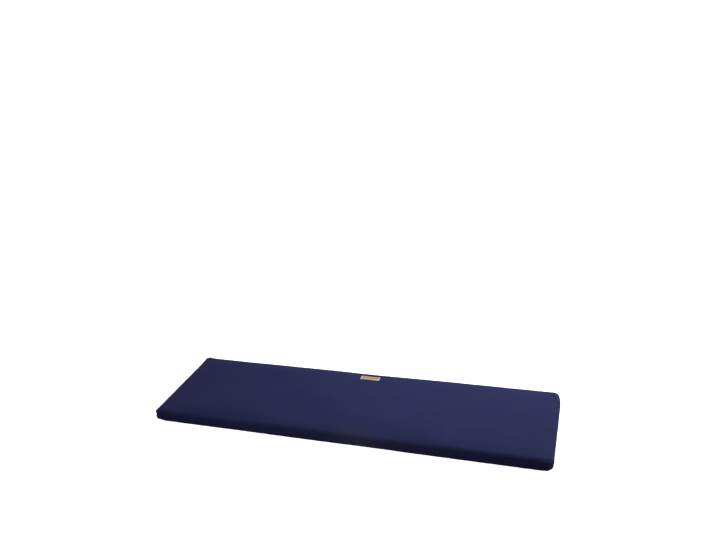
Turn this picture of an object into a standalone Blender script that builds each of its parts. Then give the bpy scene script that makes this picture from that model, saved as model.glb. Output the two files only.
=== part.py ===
"""A bench cushion: a long, thin pad of seat foam in a plain sewn cover, with a leather patch on top.

Lengths are in metres. The cushion lies on Z = 0 and is centred over the origin. Its length runs along X,
and its back edge, where the patch is, lies towards +Y. The cover has a top panel, an underside panel and
one band round the sides. They meet in a seam round the top edge and a seam round the bottom edge.
"""

import math

import bmesh
import bpy

# The cushion's size.
LENGTH = 1.180
DEPTH = 0.338
EDGE_HEIGHT = 0.0400  # the top panel, just inside its edge
CROWN = 0.0025  # how far the middle of the top stands above that
CORNER_RADIUS = 0.018  # of the outline, seen from above
TOP_ROLL = 0.014  # the radius with which the top panel turns over the foam's edge
UNDER_ROLL = 0.017  # the same for the underside, whose edge is held less tightly

# The two seams.
SEAM_DROP = 0.0080  # the top seam, below the top panel's edge
SEAM_RISE = 0.0080  # the bottom seam, above the floor
SEAM_REACH = 0.0022  # from the bottom of a seam's groove to its shoulder
SEAM_GROOVE = 0.0012  # how far the thread pulls the cloth in
SEAM_PROUD = 0.0005  # how far the turned-in edges behind a seam push its shoulders out
CORNER_EAR = 0.0008  # how much further they do so in the corners, where those edges bunch up
BAND_DRAWN_IN = 0.0008  # the side band between its seams, halfway up

# How the sides and the top depart from straight and flat.
# The long sides are drawn in near the middle, where the cover is tight.
SIDE_WAVES = (
    # side, along X, reach, drawn in by
    (-1, 0.090, 0.090, 0.0022),
    (-1, -0.290, 0.110, -0.0008),
    (+1, 0.035, 0.110, 0.0020),
    (+1, -0.410, 0.060, 0.0010),
)
HOLLOWS = (
    # along X, along Y, reach along X, reach along Y, depth
    (0.012, 0.140, 0.090, 0.035, 0.0012),
    (0.050, -0.080, 0.060, 0.050, 0.0007),
    (0.185, -0.040, 0.060, 0.060, 0.0008),
    (-0.230, 0.110, 0.080, 0.050, 0.0005),
    (-0.480, 0.050, 0.070, 0.060, 0.0007),
)
# The dent in the front of the band: along X, reach along X, height, reach in height, depth.
BAND_DENT = (0.115, 0.060, 0.022, 0.013, 0.0015)

# The cage that the shape is subdivided from.
LONG_CELLS = 24  # between the margins, along the length
SHORT_CELLS = 4  # between the margins, across
CORNER_CELLS = 2  # from where a side turns to the middle of its corner
MARGIN = 0.030  # the underside is flat from this far inside the outline
ROLL_ANGLE = 33  # where a panel's last ring lies, in degrees round its roll from the flat
SMOOTHING = 0.00045  # how far subdividing the cage draws its sides in
ON_FLOOR = 1e-6  # a point lower than this lies on the floor

# The leather patch.
PATCH_LENGTH = 0.064
PATCH_DEPTH = 0.024
PATCH_THICKNESS = 0.0020
PATCH_X = 0.011
PATCH_Y = 0.1305
PATCH_CORNER = 0.0015
PATCH_EDGE = 0.0004
PATCH_CELLS = (13, 5)
GAP = 0.0003  # between the cover and what lies on it

NAVY = (0.024, 0.024, 0.078)
TAN = (0.40, 0.27, 0.16)


def clear_scene():
    for obj in list(bpy.data.objects):
        bpy.data.objects.remove(obj, do_unlink=True)


def material(name, colour, roughness):
    finish = bpy.data.materials.new(name)
    finish.use_nodes = True
    shader = finish.node_tree.nodes["Principled BSDF"]
    shader.inputs["Base Color"].default_value = (*colour, 1.0)
    shader.inputs["Roughness"].default_value = roughness
    shader.inputs["Metallic"].default_value = 0.0
    finish.diffuse_color = (*colour, 1.0)
    return finish


def add_object(name, mesh, collection, finish):
    obj = bpy.data.objects.new(name, mesh)
    obj.data.materials.append(finish)
    collection.objects.link(obj)
    return obj


def evenly(low, high, cells):
    """The places of the cuts that divide low to high into that many cells, its ends included."""
    return [low + (high - low) * i / cells for i in range(cells + 1)]


def cuts_along(size, middle_cells):
    """Where the cage is cut along a side: evenly between the margins, and finer in the corners."""
    corner = evenly(size / 2 - CORNER_RADIUS, size / 2, CORNER_CELLS)[:-1]
    middle = evenly(MARGIN - size / 2, size / 2 - MARGIN, middle_cells)
    return [-place for place in corner] + middle + corner


def turned_by(roll, inset):
    """How far a panel has turned away from its own plane at this distance inside the outline."""
    return roll - math.sqrt(roll**2 - max(roll - inset, 0) ** 2)


def rings_of(roll, seam):
    """A panel's last ring and its seam's three rings.

    Each is (distance in from the outline, depth from the panel).
    """
    angle = math.radians(ROLL_ANGLE)
    rings = [(roll * (1 - math.sin(angle)), roll * (1 - math.cos(angle)))]
    for step, inward in ((-1, -SEAM_PROUD), (0, SEAM_GROOVE), (1, -SEAM_PROUD)):
        depth = seam + step * SEAM_REACH
        # A roll turns as far down as in, so the same arc gives the way in from the way down.
        rings.append((turned_by(roll, depth) + inward, depth))
    return rings


def side_rings():
    """The rings of the side from the underside up, as (distance in from the outline, height)."""
    under = rings_of(UNDER_ROLL, SEAM_RISE)
    over = [(inset, EDGE_HEIGHT - depth) for inset, depth in rings_of(TOP_ROLL, SEAM_DROP)]
    middle = (under[-1][1] + over[-1][1]) / 2
    rings = under + [(BAND_DRAWN_IN, middle)] + over[::-1]
    return [(inset - SMOOTHING, height) for inset, height in rings]


def rounded(x, y):
    """Moves a point of the square-cornered cage to its place within the round-cornered outline.

    In a corner each square ring of the cage becomes a round one, as far inside the outline as it was.
    """
    turn_x = LENGTH / 2 - CORNER_RADIUS
    turn_y = DEPTH / 2 - CORNER_RADIUS
    past_x = abs(x) - turn_x
    past_y = abs(y) - turn_y
    if past_x <= 0 or past_y <= 0:
        return x, y
    eighth = math.pi / 4
    angle = eighth * past_y / past_x if past_x > past_y else 2 * eighth - eighth * past_x / past_y
    radius = max(past_x, past_y)
    return (
        math.copysign(turn_x + radius * math.cos(angle), x),
        math.copysign(turn_y + radius * math.sin(angle), y),
    )


def inset_of(x, y):
    """How far a point lies inside the outline, and the way out from it."""
    past_x = abs(x) - (LENGTH / 2 - CORNER_RADIUS)
    past_y = abs(y) - (DEPTH / 2 - CORNER_RADIUS)
    out_x, out_y = max(past_x, 0), max(past_y, 0)
    outside = math.hypot(out_x, out_y)
    inset = CORNER_RADIUS - outside - min(max(past_x, past_y), 0)
    if outside == 0:
        return inset, (0, 0)
    return inset, (math.copysign(out_x / outside, x), math.copysign(out_y / outside, y))


def bump(distance, reach):
    return math.exp(-((distance / reach) ** 2))


def crown(x, y):
    """The top's swell, less the soft hollows in it."""
    swell = (1 - abs(2 * x / LENGTH) ** 16) * (1 - abs(2 * y / DEPTH) ** 4)
    hollows = sum(
        depth * bump(x - at_x, reach_x) * bump(y - at_y, reach_y)
        for at_x, at_y, reach_x, reach_y, depth in HOLLOWS
    )
    return CROWN * swell - hollows


def draw_in(x, y, z):
    """Pulls the long sides in and out by their waves, and presses the dent into the front of the band.

    The waves fade out below the bottom seam, where the floor holds the underside straight.
    """
    edge = abs(2 * y / DEPTH) ** 4 * min(z / SEAM_RISE, 1)
    inward = sum(
        depth * bump(x - at, reach)
        for side, at, reach, depth in SIDE_WAVES
        if side * y > 0
    )
    if y < 0:
        at_x, reach_x, at_z, reach_z, depth = BAND_DENT
        inward += depth * bump(x - at_x, reach_x) * bump(z - at_z, reach_z)
    return y - math.copysign(inward * edge, y)


def cut_block(rows):
    """A square-cornered block, as long and deep as the cushion, cut into the cage's cells.

    Its height counts the rows of the side.
    """
    block = bmesh.new()
    bmesh.ops.create_cube(block, size=1.0)
    for vertex in block.verts:
        vertex.co.x *= LENGTH
        vertex.co.y *= DEPTH
        vertex.co.z = (vertex.co.z + 0.5) * rows
    cuts = [((place, 0, 0), (1, 0, 0)) for place in cuts_along(LENGTH, LONG_CELLS)]
    cuts += [((0, place, 0), (0, 1, 0)) for place in cuts_along(DEPTH, SHORT_CELLS)]
    cuts += [((0, 0, row), (0, 0, 1)) for row in range(1, rows)]
    for place, across in cuts:
        everything = block.verts[:] + block.edges[:] + block.faces[:]
        bmesh.ops.bisect_plane(block, geom=everything, plane_co=place, plane_no=across)
    return block


def groove_rows(rings):
    """The rows at the bottom of the two seams."""
    return (2, len(rings) - 3)


def shoulder_rows(rings):
    """The rows on both sides of each seam."""
    return [groove + step for groove in groove_rows(rings) for step in (-1, 1)]


def shape_cushion(block, rings):
    """Moves each point of the block to its place, and returns the row of each point on the side."""
    top_row = len(rings) - 1
    on_side = LENGTH * 1e-5
    rows = {}
    for vertex in block.verts:
        row = round(vertex.co.z)
        x, y = rounded(vertex.co.x, vertex.co.y)
        inset, outward = inset_of(x, y)
        if inset < on_side:
            inset, z = rings[row]
            if row in shoulder_rows(rings):
                inset -= CORNER_EAR * 2 * abs(outward[0] * outward[1])
            x -= outward[0] * inset
            y -= outward[1] * inset
            rows[vertex] = row
        elif row == top_row:
            z = EDGE_HEIGHT - turned_by(TOP_ROLL, inset)
        else:
            z = turned_by(UNDER_ROLL, inset)
        if row == top_row:
            z += crown(x, y)
        vertex.co = (x, draw_in(x, y, z), z)
    return rows


def foot_edges(block):
    """The edges round the flat part of the underside, on which the cushion rests."""
    foot = {face for face in block.faces if all(abs(vertex.co.z) < ON_FLOOR for vertex in face.verts)}
    return {edge for edge in block.edges if len(foot.intersection(edge.link_faces)) == 1}


def crease_cage(block, rows, rings):
    """Keeps both seams' grooves and the foot's outline sharp when the cage is subdivided."""
    crease = block.edges.layers.float.new("crease_edge")
    corner_crease = block.verts.layers.float.new("crease_vert")
    foot = foot_edges(block)
    for edge in block.edges:
        first, second = (rows.get(vertex) for vertex in edge.verts)
        if edge in foot or (first == second and first in groove_rows(rings)):
            edge[crease] = 1.0
    for vertex in block.verts:
        ways = [edge.other_vert(vertex).co - vertex.co for edge in vertex.link_edges if edge in foot]
        if len(ways) == 2 and abs(ways[0].normalized().dot(ways[1].normalized())) < 0.5:
            vertex[corner_crease] = 1.0


def make_cushion(collection):
    """The filled cushion, foam and cover in one solid, with its crown, rolled edges and seams."""
    rings = side_rings()
    block = cut_block(len(rings) - 1)
    rows = shape_cushion(block, rings)
    crease_cage(block, rows, rings)
    mesh = bpy.data.meshes.new("cushion")
    block.to_mesh(mesh)
    block.free()
    mesh.shade_smooth()
    cushion = add_object("cushion", mesh, collection, material("navy cloth", NAVY, 0.85))
    smooth = cushion.modifiers.new("Soft form", "SUBSURF")
    smooth.levels = 1
    smooth.render_levels = 1
    return cushion


def make_patch(collection, cushion):
    """The leather patch: a sheet laid on the top panel, with its thickness and a soft edge."""
    sheet = bmesh.new()
    bmesh.ops.create_grid(sheet, x_segments=PATCH_CELLS[0], y_segments=PATCH_CELLS[1], size=0.5)
    for vertex in sheet.verts:
        vertex.co = (vertex.co.x * PATCH_LENGTH, vertex.co.y * PATCH_DEPTH, 0)
    corners = [vertex for vertex in sheet.verts if len(vertex.link_edges) == 2]
    bmesh.ops.bevel(sheet, geom=corners, offset=PATCH_CORNER, segments=3, profile=0.5, affect="VERTICES")
    mesh = bpy.data.meshes.new("patch")
    sheet.to_mesh(mesh)
    sheet.free()
    patch = add_object("patch", mesh, collection, material("tan leather", TAN, 0.55))
    patch.location = (PATCH_X, PATCH_Y, 2 * EDGE_HEIGHT)

    lay = patch.modifiers.new("Lie on the cover", "SHRINKWRAP")
    lay.target = cushion
    lay.wrap_method = "PROJECT"
    lay.use_project_z = True
    lay.use_negative_direction = True
    lay.use_positive_direction = False
    lay.offset = GAP
    leather = patch.modifiers.new("Thickness", "SOLIDIFY")
    leather.thickness = PATCH_THICKNESS
    leather.offset = 1.0
    edge = patch.modifiers.new("Soft edge", "BEVEL")
    edge.width = PATCH_EDGE
    edge.segments = 2
    edge.limit_method = "ANGLE"
    edge.angle_limit = math.radians(40)
    return patch


clear_scene()
parts = bpy.data.collections.new("Bench cushion")
bpy.context.scene.collection.children.link(parts)
make_patch(parts, make_cushion(parts))
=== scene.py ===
# %% [markdown]
# # A bench cushion
#
# The object is a long, thin seat pad: a slab of foam in a sewn cover of navy cloth, with a small leather
# patch on top near its back edge. Its solids are already built and packed, and they settle where
# everything lies. This script makes what the eye sees: the cover as soft cloth that is held by two
# seams, the thread in them, the patch and its stitches, and the finish of each.
#
# The first cell loads the solids, and notes the box that they fill. All lengths are in metres.

# %% Load the solids
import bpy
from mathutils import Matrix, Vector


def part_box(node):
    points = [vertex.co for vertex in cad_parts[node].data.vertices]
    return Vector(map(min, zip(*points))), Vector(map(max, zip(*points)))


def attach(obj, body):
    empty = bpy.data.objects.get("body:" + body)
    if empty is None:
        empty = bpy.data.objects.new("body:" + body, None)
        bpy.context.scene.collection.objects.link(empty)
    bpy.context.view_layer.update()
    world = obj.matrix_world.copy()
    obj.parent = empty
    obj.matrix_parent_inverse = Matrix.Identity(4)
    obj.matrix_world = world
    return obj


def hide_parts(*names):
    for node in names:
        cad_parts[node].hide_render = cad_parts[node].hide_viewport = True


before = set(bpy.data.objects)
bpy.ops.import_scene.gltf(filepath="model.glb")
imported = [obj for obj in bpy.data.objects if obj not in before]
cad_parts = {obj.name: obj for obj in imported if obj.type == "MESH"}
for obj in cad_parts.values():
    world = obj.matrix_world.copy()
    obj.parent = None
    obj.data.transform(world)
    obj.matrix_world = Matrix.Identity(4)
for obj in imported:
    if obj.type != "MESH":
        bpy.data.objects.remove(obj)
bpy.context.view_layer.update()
cushion_low, cushion_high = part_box("cushion")
patch_low, patch_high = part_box("patch")
print("cushion solid from", tuple(cushion_low), "to", tuple(cushion_high))

# %% [markdown]
# ## The camera
#
# The pad was photographed from standing height, a little to the right of its middle, with the camera
# turned slightly about its own line of sight. The place and the turn could be found by eye, by moving
# the camera until the outline fits. Here they were found by fitting the outline of the solids to the
# outline in the photograph, which is why they aren't round numbers.

# %% Place the camera
import math

import bmesh
import bpy
import numpy as np
from mathutils import Vector, noise

CAMERA_PLACE = (0.6635, -1.7372, 1.2302)
CAMERA_TURN = (67.513, 4.299, 17.798)  # degrees round X, Y and Z
CAMERA_LENS = 36.45  # mm, on a sensor 36 mm wide

scene = bpy.context.scene
camera = bpy.data.objects.new("Camera", bpy.data.cameras.new("Camera"))
camera.location = CAMERA_PLACE
camera.rotation_euler = [math.radians(turn) for turn in CAMERA_TURN]
camera.data.lens = CAMERA_LENS
scene.collection.objects.link(camera)
scene.camera = camera
print("camera", round(camera.location.length, 2), "m from the middle of the pad")

# %% [markdown]
# ## How the cover is cut
#
# A box cushion's cover has a top panel, an underside panel and one band that runs round the sides. The
# foam's edges are soft, so each panel rolls over the edge before it meets the band in a seam. Seen in
# section, a side is then a roll, a short upright stretch and another roll, with a seam on each roll.
#
# The section could be drawn as a curve and swept round the pad. Here it is a short list of rings, each
# with its distance in from the outline and its height, because every ring can then be pushed and pulled
# by itself, and the rings lie closer together near the seams.

# %% The sizes of the cover
LENGTH = cushion_high.x - cushion_low.x
DEPTH = cushion_high.y - cushion_low.y
EDGE_HEIGHT = 0.0400
CORNER_RADIUS = 0.015
TOP_ROLL = 0.0108
UNDER_ROLL = 0.017
SEAM_DROP = 0.0080  # the top seam, below the panel's edge
SEAM_RISE = 0.0080  # the bottom seam, above the floor

# Where the rings lie along a roll: how far they are from its seam, measured along the cloth.
TOP_RINGS = (-0.0060, -0.0032, -0.0015, 0.0, 0.0015, 0.0032)
UNDER_RINGS = (-0.0032, -0.0015, 0.0, 0.0015, 0.0032, 0.0070)


def roll_point(roll, turned):
    """A point of a rolled edge that has turned by this angle: (in from the outline, away from the panel)."""
    return roll * (1 - math.sin(turned)), roll * (1 - math.cos(turned))


def section():
    """The rings of the side from the underside up.

    Each row is (in from the outline, height, from the bottom seam, from the top seam), with the last two
    measured along the cloth, upwards.
    """
    top_seam = math.acos(1 - SEAM_DROP / TOP_ROLL)
    low_seam = math.acos(1 - SEAM_RISE / UNDER_ROLL)
    band = EDGE_HEIGHT - TOP_ROLL - UNDER_ROLL  # the upright stretch
    low_side = (math.pi / 2 - low_seam) * UNDER_ROLL  # from the bottom seam to the upright stretch
    top_side = (math.pi / 2 - top_seam) * TOP_ROLL
    between = low_side + band + top_side
    rings = []
    for past in sorted(UNDER_RINGS, reverse=True):
        inset, height = roll_point(UNDER_ROLL, low_seam - past / UNDER_ROLL)
        rings.append((inset, height, -past, -past - between))
    rings.append((0.0, UNDER_ROLL, low_side, low_side - between))
    rings.append((0.0, UNDER_ROLL + band / 2, low_side + band / 2, -top_side - band / 2))
    rings.append((0.0, UNDER_ROLL + band, low_side + band, -top_side))
    for past in sorted(TOP_RINGS, reverse=True):
        inset, drop = roll_point(TOP_ROLL, top_seam + past / TOP_ROLL)
        rings.append((inset, EDGE_HEIGHT - drop, between - past, -past))
    return rings


RINGS = section()
TOP_SEAM = next(row for row, ring in enumerate(RINGS) if ring[3] == 0)
LOW_SEAM = next(row for row, ring in enumerate(RINGS) if ring[2] == 0)
print(len(RINGS), "rings, with the seams at", LOW_SEAM, "and", TOP_SEAM)

# %% [markdown]
# ## A cage for the whole pad
#
# The cover is one closed skin. A rounded box could come from a Bevel on a cube, but its faces would run
# in slivers, and cloth moves badly on those. So a block is cut into even cells by planes, as one would
# slice a cake, and only later is each point moved to its place.

# %% Cut a block into cells
CELL = 0.0082  # the cloth's cells, before they are made finer
CORNER_CUTS = (0.0085, 0.0120, 0.0150)  # the cuts near an edge, from the outline inwards


def cuts_along(size):
    """Where the cage is cut along a side, its ends included."""
    near = [size / 2 - inset for inset in (0.0, *CORNER_CUTS)]
    cells = round(2 * near[-1] / CELL)
    middle = [near[-1] * (2 * cell / cells - 1) for cell in range(1, cells)]
    return [-place for place in near] + middle + near[::-1]


def cut_block(*counts):
    """A block from (0, 0, 0) to these counts of cells, cut at every whole number."""
    block = bmesh.new()
    bmesh.ops.create_cube(block, size=1.0)
    for vertex in block.verts:
        vertex.co = [(place + 0.5) * count for place, count in zip(vertex.co, counts)]
    for axis, count in reversed(list(enumerate(counts))):
        across = Vector((0, 0, 0))
        across[axis] = 1
        for cut in range(1, count):
            everything = block.verts[:] + block.edges[:] + block.faces[:]
            bmesh.ops.bisect_plane(block, geom=everything, plane_co=across * cut, plane_no=across)
    return block


X_CUTS = cuts_along(LENGTH)
Y_CUTS = cuts_along(DEPTH)
cage = cut_block(len(X_CUTS) - 1, len(Y_CUTS) - 1, len(RINGS) - 1)
print("the cage has", len(cage.faces), "cells")

# %% [markdown]
# ## Round corners
#
# Seen from above, the pad is a long rectangle with small round corners. In each corner the square rings
# of the block have to become round ones. A Bevel or a Boolean would cut the corner off and leave uneven
# faces. Here a point keeps its distance from the outline and only slides along its ring, so the cells
# stay four-sided and the rings stay rings.

# %% Round the corners
CORNER_EVEN = 1.7  # spreads the cells of a corner evenly over its arc
ON_OUTLINE = 1e-6  # a point that is nearer than this counts as lying on the outline


def past_corner(x, y):
    """How far a point lies past the middle of the corner's arc, along X and Y."""
    return abs(x) - (LENGTH / 2 - CORNER_RADIUS), abs(y) - (DEPTH / 2 - CORNER_RADIUS)


def rounded(x, y):
    """Moves a point of the square-cornered cage to its place in a round corner, as far from the outline."""
    past_x, past_y = past_corner(x, y)
    if past_x <= 0 or past_y <= 0:
        return x, y
    radius = max(past_x, past_y)
    share = (1 - (1 - min(past_x, past_y) / radius) ** CORNER_EVEN) * math.pi / 4
    angle = share if past_x > past_y else math.pi / 2 - share
    return (
        math.copysign(LENGTH / 2 - CORNER_RADIUS + radius * math.cos(angle), x),
        math.copysign(DEPTH / 2 - CORNER_RADIUS + radius * math.sin(angle), y),
    )


def inset_of(x, y):
    """How far a point lies inside the outline, and the way out from it in a corner."""
    past_x, past_y = past_corner(x, y)
    outside = math.hypot(max(past_x, 0), max(past_y, 0))
    inset = CORNER_RADIUS - outside - min(max(past_x, past_y), 0)
    if outside == 0:
        return inset, Vector((0, 0, 0))
    way = Vector((math.copysign(max(past_x, 0), x), math.copysign(max(past_y, 0), y), 0))
    return inset, way / outside


print("the tip of a corner goes to", [round(place, 4) for place in rounded(LENGTH / 2, DEPTH / 2)])

# %% [markdown]
# ## The panels laid flat
#
# Cloth is woven flat and cut flat, so its threads run straight on each panel and change direction only at
# a seam. A UV map can say so: it gives each corner of each face a place on the flat cloth. Unwrapping by
# tool would do for a picture, but here the map is worked out from the sizes of the cover, in metres, so
# that a thread is as wide on the band as it is on the top. It is made while the cage is still a block of
# whole numbers, which say at once in which ring and which cell a point lies.

# %% Lay the panels flat
QUARTER = (LENGTH + DEPTH) / 2 - 2 * CORNER_RADIUS + CORNER_RADIUS * math.pi / 2  # of the way round
BAND_APART = 0.5  # how far the band and the underside lie from the top panel on the flat cloth


def way_round(x, y):
    """How far round the outline a point of it lies, from the middle of the right side, going left behind."""
    past_x, past_y = past_corner(x, y)
    straight = min(abs(y), DEPTH / 2 - CORNER_RADIUS)
    if past_y > 0:
        straight += CORNER_RADIUS * math.atan2(past_y, max(past_x, 0)) - min(past_x, 0)
    if x < 0:
        straight = 2 * QUARTER - straight
    return straight if y >= 0 else 4 * QUARTER - straight


def flat_place(panel, corner):
    """Where a point of the uncut block comes to lie on the flat cloth."""
    column, row, layer = (round(count) for count in corner)
    x, y = rounded(X_CUTS[column], Y_CUTS[row])
    inset, outward = inset_of(x, y)
    on_side = inset < ON_OUTLINE
    if panel == "band":
        return way_round(x, y), BAND_APART + RINGS[layer][2]
    if panel == "top":
        past = RINGS[-1][3] - RINGS[layer][3] - RINGS[-1][0] if on_side else 0
        return x + outward.x * past, y + outward.y * past
    past = RINGS[layer][2] - RINGS[0][2] - RINGS[0][0] if on_side else 0
    return x + outward.x * past, y + outward.y * past - BAND_APART


def panel_of(layers):
    """The panel that a face belongs to, by the layers of its corners."""
    if min(layers) >= TOP_SEAM:
        return "top"
    return "underside" if max(layers) <= LOW_SEAM else "band"


def lay_flat(cage):
    """Gives the cage a UV map of the cloth before it is sewn. The cage is still a plain block."""
    flat = cage.loops.layers.uv.new("cut")
    for face in cage.faces:
        panel = panel_of([round(loop.vert.co.z) for loop in face.loops])
        places = [flat_place(panel, loop.vert.co) for loop in face.loops]
        furthest = max(u for u, v in places)
        for loop, (u, v) in zip(face.loops, places):
            closes_band = panel == "band" and furthest - u > QUARTER
            loop[flat].uv = (u + 4 * QUARTER if closes_band else u, v)


lay_flat(cage)
print("the band is cut", round(4 * QUARTER, 3), "m long and", round(RINGS[TOP_SEAM][2], 4), "m wide")

# %% [markdown]
# ## The pad's form at rest
#
# Foam is cut by a blade and a cover by scissors, so no side of a real pad is quite straight, and the top
# isn't quite level. The long sides are drawn in by about two millimetres near the middle, and a few
# shallow hollows lie where hands have pressed. They could be sculpted, but a short table of soft bumps
# says where each one is, and keeps it in the same place as in the solids.

# %% Hollows, waves and the dent
SIDE_WAVES = (
    # side, along X, reach, drawn in by
    (-1, 0.090, 0.090, 0.0022),
    (-1, -0.290, 0.110, -0.0008),
    (+1, 0.035, 0.110, 0.0020),
    (+1, -0.410, 0.060, 0.0010),
)
HOLLOWS = (
    # along X, along Y, reach along X, reach along Y, depth
    (0.012, 0.140, 0.090, 0.035, 0.0012),
    (0.050, -0.080, 0.060, 0.050, 0.0007),
    (0.185, -0.040, 0.060, 0.060, 0.0008),
    (-0.230, 0.110, 0.080, 0.050, 0.0005),
    (-0.480, 0.050, 0.070, 0.060, 0.0007),
)
# The dent in the front of the band: along X, reach along X, height, reach in height, depth.
BAND_DENT = (0.115, 0.060, 0.022, 0.013, 0.0015)
EMPTY_CROWN = 0.0020  # how much higher the middle is than the edges, before the cover is filled
CROWN_TO_ENDS = 16  # a high power keeps the top level until close to the ends
CROWN_TO_SIDES = 4
DRAWN_TO_SIDES = 4  # likewise, how soon the drawing in of the sides fades towards the middle


def bump(distance, reach):
    """A soft bump: 1 in its middle, about a third at its reach, and nothing far away."""
    return math.exp(-((distance / reach) ** 2))


def turned_by(roll, inset):
    """How far a panel has turned away from its own plane at this distance inside the outline."""
    return roll - math.sqrt(roll**2 - max(roll - inset, 0) ** 2)


def crown(x, y):
    """The top's swell, less the hollows in it."""
    swell = (1 - abs(2 * x / LENGTH) ** CROWN_TO_ENDS) * (1 - abs(2 * y / DEPTH) ** CROWN_TO_SIDES)
    hollows = (
        depth * bump(x - at_x, reach_x) * bump(y - at_y, reach_y)
        for at_x, at_y, reach_x, reach_y, depth in HOLLOWS
    )
    return EMPTY_CROWN * swell - sum(hollows)


def drawn_in(x, y, z):
    """How far the long sides are drawn in at this point, with the dent in the front of the band."""
    inward = sum(depth * bump(x - at, reach) for side, at, reach, depth in SIDE_WAVES if side * y > 0)
    if y < 0:
        at_x, reach_x, at_z, reach_z, depth = BAND_DENT
        inward += depth * bump(x - at_x, reach_x) * bump(z - at_z, reach_z)
    return inward * abs(2 * y / DEPTH) ** DRAWN_TO_SIDES * min(z / SEAM_RISE, 1)


print("the empty top is", round(1000 * crown(0, 0), 2), "mm above its edges in the middle")

# %% [markdown]
# ## Corners placed one by one
#
# In a corner a sewn cover has more cloth than it needs, and each corner settles in its own way: the two in
# front are lifted a little off the floor, one behind is pulled in, and the front left one has a small ear
# with a notch below it. A simulation could make such corners, but not these ones. So each is a tug that
# was placed after the photograph: it pulls the cloth near one height of a corner in, out or up,
# and fades away from there. Then every point of the block goes to its place.

# %% Shape the cage
CORNER_TUGS = (
    # side along X and Y, height, reach in height, reach around, pulled in along X and Y, lifted by
    (+1, +1, 0.036, 0.030, 0.030, 0.0068, 0.0018, 0.0),
    (+1, -1, 0.036, 0.010, 0.019, 0.0, 0.0, -0.0015),
    (+1, -1, 0.003, 0.012, 0.019, 0.0036, 0.0040, 0.0020),
    (-1, +1, 0.036, 0.012, 0.026, 0.0, -0.0008, 0.0020),
    (-1, -1, 0.036, 0.010, 0.019, 0.0, 0.0, -0.0035),
    (-1, -1, 0.016, 0.024, 0.019, -0.0042, 0.0, 0.0),
    (-1, -1, 0.026, 0.004, 0.019, 0.0050, 0.0025, 0.0),
    (-1, -1, 0.002, 0.009, 0.020, 0.0046, 0.0046, 0.0026),
)


def tugged(x, y, z):
    """Where a point goes when the corners are pulled in, each in its own way."""
    for side_x, side_y, height, high_reach, wide_reach, in_x, in_y, lift in CORNER_TUGS:
        away = math.hypot(x - side_x * LENGTH / 2, y - side_y * DEPTH / 2)
        share = bump(away, wide_reach) * bump(z - height, high_reach)
        x -= side_x * in_x * share
        y -= side_y * in_y * share
        z += lift * share
    return x, y, z


def shape_cage(cage):
    """Moves each point of the cage to its place, and notes how far along the cloth the seams are."""
    from_low = cage.verts.layers.float.new("from_low_seam")
    from_top = cage.verts.layers.float.new("from_top_seam")
    last = len(RINGS) - 1
    for vertex in cage.verts:
        column, row, layer = (round(count) for count in vertex.co)
        x, y = rounded(X_CUTS[column], Y_CUTS[row])
        inset, outward = inset_of(x, y)
        if inset < ON_OUTLINE:
            inset, z, vertex[from_low], vertex[from_top] = RINGS[layer]
            x -= outward.x * inset
            y -= outward.y * inset
        elif layer == last:
            z = EDGE_HEIGHT - turned_by(TOP_ROLL, inset)
            vertex[from_low] = vertex[from_top] = RINGS[last][3] + inset - RINGS[last][0]
        else:
            z = turned_by(UNDER_ROLL, inset)
            vertex[from_low] = vertex[from_top] = RINGS[0][2] - inset + RINGS[0][0]
        if layer == last:
            z += crown(x, y)
        vertex.co = tugged(x, y - math.copysign(drawn_in(x, y, z), y), z)


shape_cage(cage)
cover_mesh = bpy.data.meshes.new("cover")
cage.to_mesh(cover_mesh)
cage.free()
cover_mesh.shade_smooth()
cover = bpy.data.objects.new("cover", cover_mesh)
scene.collection.objects.link(cover)
print("the empty cover is", [round(side, 4) for side in cover.dimensions])

# %% [markdown]
# ## How the cloth is held
#
# Before the cover is filled, each point of it needs to know how firmly it is held. The thread holds the
# cloth fast along the seams, what lies on the floor stays there, and everywhere else the foam grips it
# lightly from below, here more and there less. Blender reads this from a group of points with a number for
# each. It could be painted by hand, but from the distances it comes out the same on all sides.

# %% Hold the cloth
FOAM_GRIP = 0.17  # how firmly the foam holds the cloth, where 1 doesn't let it move
GRIP_CHANGE = 0.35  # how much the grip differs from place to place
GRIP_PATCH = 0.13  # how large such a place is
SEAM_GRIP = 0.004  # how far from a seam the thread holds the cloth
SEAM_GRIP_END = 4  # a high power makes that grip end sharply
HELD_FAST = 0.99  # a point that is held more firmly than this hardly moves
ON_FLOOR = 1e-5  # a point that is lower than this lies on the floor


def grip(place, from_low, from_top):
    """How firmly the cloth is held at a point, from 0 to 1."""
    if place.z < ON_FLOOR:
        return 1.0
    foam = FOAM_GRIP * (1 + GRIP_CHANGE * noise.noise(place / GRIP_PATCH))
    seam = math.exp(-((min(abs(from_low), abs(from_top)) / SEAM_GRIP) ** SEAM_GRIP_END))
    return max(foam, seam)


def values_of(mesh, name):
    """One number for each point of a mesh."""
    values = np.empty(len(mesh.vertices), np.float32)
    mesh.attributes[name].data.foreach_get("value", values)
    return values.astype(float)


def hold_cloth(piece):
    """Gives a piece the group of points by which its cloth is held."""
    hold = piece.vertex_groups.new(name="hold")
    mesh = piece.data
    from_low = values_of(mesh, "from_low_seam")
    from_top = values_of(mesh, "from_top_seam")
    firmness = [grip(point.co, low, top) for point, low, top in zip(mesh.vertices, from_low, from_top)]
    for point, firm in zip(mesh.vertices, firmness):
        hold.add([point.index], firm, "REPLACE")
    return firmness


firmness = hold_cloth(cover)
held_fast = sum(firm > HELD_FAST for firm in firmness)
print(held_fast, "of the cover's", len(firmness), "points are held fast")

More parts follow.
